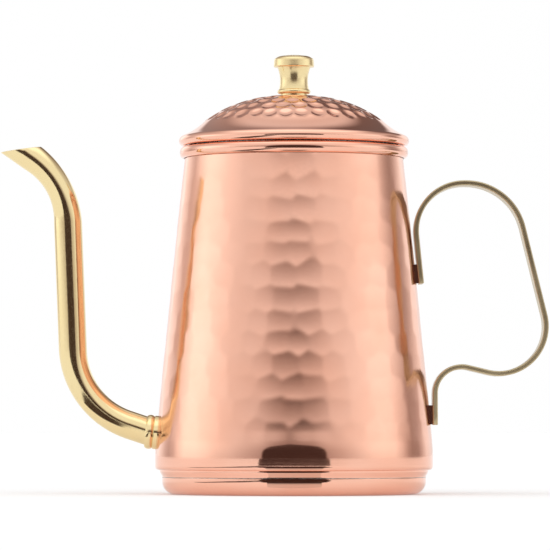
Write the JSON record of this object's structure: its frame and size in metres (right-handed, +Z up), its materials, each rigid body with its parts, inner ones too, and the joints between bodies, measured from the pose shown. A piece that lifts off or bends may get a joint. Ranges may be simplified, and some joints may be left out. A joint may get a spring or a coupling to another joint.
{
  "type": "gooseneck kettle",
  "caption": "Stovetop gooseneck kettle with a tapered hammered copper body, a domed lift-off lid with a turned brass knob, a slim bent brass spout and a brass strip handle.",
  "frame": {"origin": "middle of the flat underside, on the body's axis, level with the surface it stands on", "axes": "+Z up along the body's axis, +X from the body towards the handle, so the spout lies towards -X"},
  "size_m": [0.2161, 0.11, 0.1734],
  "materials": {
    "hammered_copper": "polished copper with rows of shallow hammer facets",
    "polished_copper": "mirror-polished copper",
    "tinned_copper": "tinned copper, satin",
    "polished_brass": "mirror-polished brass",
    "plated_steel": "bright plated steel"
  },
  "bodies": {
    "kettle": {"body_shell": "hammered_copper", "base_pan": "polished_copper", "mouth_ring": "polished_copper", "upper_handle_pad": "polished_copper", "lower_handle_pad": "polished_copper", "upper_rivet_burrs": "tinned_copper", "lower_rivet_burrs": "tinned_copper", "spout_tube": "polished_brass", "spout_collar": "polished_brass", "handle_strip": "polished_brass", "upper_handle_rivets": "polished_brass", "lower_handle_rivets": "polished_brass"},
    "lid": {"lid_dome": "polished_copper", "lid_skirt": "tinned_copper", "lid_knob": "polished_brass", "knob_washer": "plated_steel", "knob_screw": "plated_steel"}
  },
  "joints": [
    {"name": "lid_lift", "type": "slide", "parent": "kettle", "child": "lid", "axis": [0, 0, 1], "range_m": [0, 0.05]}
  ]
}
